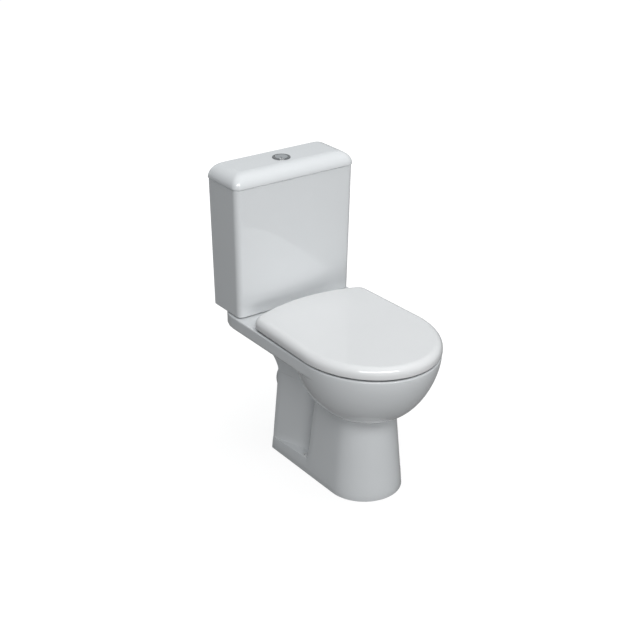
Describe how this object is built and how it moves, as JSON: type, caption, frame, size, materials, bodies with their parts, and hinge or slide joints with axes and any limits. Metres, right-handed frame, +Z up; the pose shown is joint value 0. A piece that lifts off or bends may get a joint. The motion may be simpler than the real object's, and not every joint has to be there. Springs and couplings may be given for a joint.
{
  "type": "close coupled toilet",
  "caption": "Floor-standing ceramic toilet pan with a cistern on its rear deck, a wrap-over seat lid, a seat ring and a push-button flush.",
  "frame": {"origin": "centre of the footprint of the whole object, on the floor", "axes": "+Z up, +Y towards the wall behind the cistern, the seat's front points along -Y, +X to the right seen from the front"},
  "size_m": [0.3666, 0.632, 0.788],
  "materials": {
    "ceramic": "glossy white vitreous glaze",
    "chrome": "polished chrome plating",
    "seat_plastic": "glossy white moulded plastic",
    "white_plastic": "plain moulded plastic",
    "coloured_plastic": "plain moulded plastic",
    "rubber": "matt moulded rubber",
    "steel": "plain stainless steel",
    "sleeve_plastic": "pale moulded plastic"
  },
  "bodies": {
    "pan_and_cistern": {"pan": "ceramic", "cistern_tank": "ceramic", "flush_valve_body": "white_plastic", "valve_gasket": "rubber", "valve_back_nut": "white_plastic", "rocker_pins": "steel", "fill_valve_body": "white_plastic", "fill_valve_cap": "coloured_plastic", "fill_valve_washer": "rubber", "inlet_nut": "white_plastic", "float_pin": "steel", "coupling_seal": "rubber", "coupling_bolts": "steel", "coupling_rubber_washers": "rubber", "coupling_steel_washers": "steel", "coupling_wing_nuts": "coloured_plastic", "hinge_posts": "steel", "hinge_pins": "steel", "seat_fixing_studs": "steel", "seat_fixing_plugs": "rubber", "floor_fixing_sleeves": "sleeve_plastic"},
    "cistern_cover": {"cistern_lid": "ceramic", "button_housing": "chrome", "button_locknut": "white_plastic", "full_button_spring": "steel", "half_button_spring": "steel"},
    "full_button": {"full_flush_button": "chrome", "full_push_rod": "white_plastic"},
    "half_button": {"half_flush_button": "chrome", "half_push_rod": "white_plastic"},
    "seat": {"seat_ring": "seat_plastic", "seat_buffers": "rubber"},
    "lid": {"seat_lid": "seat_plastic", "lid_buffers": "rubber"},
    "valve_lift": {"lift_tube": "white_plastic", "valve_seal": "rubber"},
    "full_rocker": {"full_flush_rocker": "coloured_plastic"},
    "half_trip": {"half_flush_trip_lever": "coloured_plastic"},
    "float": {"float_arm": "coloured_plastic", "float_cup": "white_plastic"}
  },
  "joints": [
    {"name": "seat_hinge", "type": "hinge", "parent": "pan_and_cistern", "child": "seat", "pos_m": [0, 0.147, 0.413], "axis": [-1, 0, 0], "range_deg": [0, 91]},
    {"name": "lid_hinge", "type": "hinge", "parent": "seat", "child": "lid", "pos_m": [0, 0.147, 0.413], "axis": [1, 0, 0], "range_deg": [-91, 0]},
    {"name": "cistern_lid_lift", "type": "slide", "parent": "pan_and_cistern", "child": "cistern_cover", "axis": [0, 0, 1], "range_m": [0, 0.08]},
    {"name": "full_flush_press", "type": "slide", "parent": "cistern_cover", "child": "full_button", "axis": [0, 0, -1], "range_m": [0, 0.006], "stiffness_N_per_m": 350, "springref_m": -0.012, "deforming": ["full_button_spring"]},
    {"name": "half_flush_press", "type": "slide", "parent": "cistern_cover", "child": "half_button", "axis": [0, 0, -1], "range_m": [0, 0.006], "stiffness_N_per_m": 350, "springref_m": -0.012, "deforming": ["half_button_spring"]},
    {"name": "full_rocker_pivot", "type": "hinge", "parent": "pan_and_cistern", "child": "full_rocker", "pos_m": [0.042, 0.252, 0.697], "axis": [0, 1, 0], "range_deg": [0, 14.5]},
    {"name": "half_trip_pivot", "type": "hinge", "parent": "pan_and_cistern", "child": "half_trip", "pos_m": [-0.042, 0.252, 0.697], "axis": [0, -1, 0], "range_deg": [0, 14.5]},
    {"name": "valve_lift_slide", "type": "slide", "parent": "pan_and_cistern", "child": "valve_lift", "axis": [0, 0, 1], "range_m": [0, 0.0055]},
    {"name": "float_arm_pivot", "type": "hinge", "parent": "pan_and_cistern", "child": "float", "pos_m": [0.108, 0.252, 0.622], "axis": [0, 1, 0], "range_deg": [0, 20]}
  ],
  "couplings": [
    {"joint": "full_rocker_pivot", "follows": "full_flush_press", "rad_per_m": 41.17},
    {"joint": "valve_lift_slide", "follows": "full_flush_press", "ratio": 0.9},
    {"joint": "half_trip_pivot", "follows": "half_flush_press", "rad_per_m": 41.17}
  ]
}
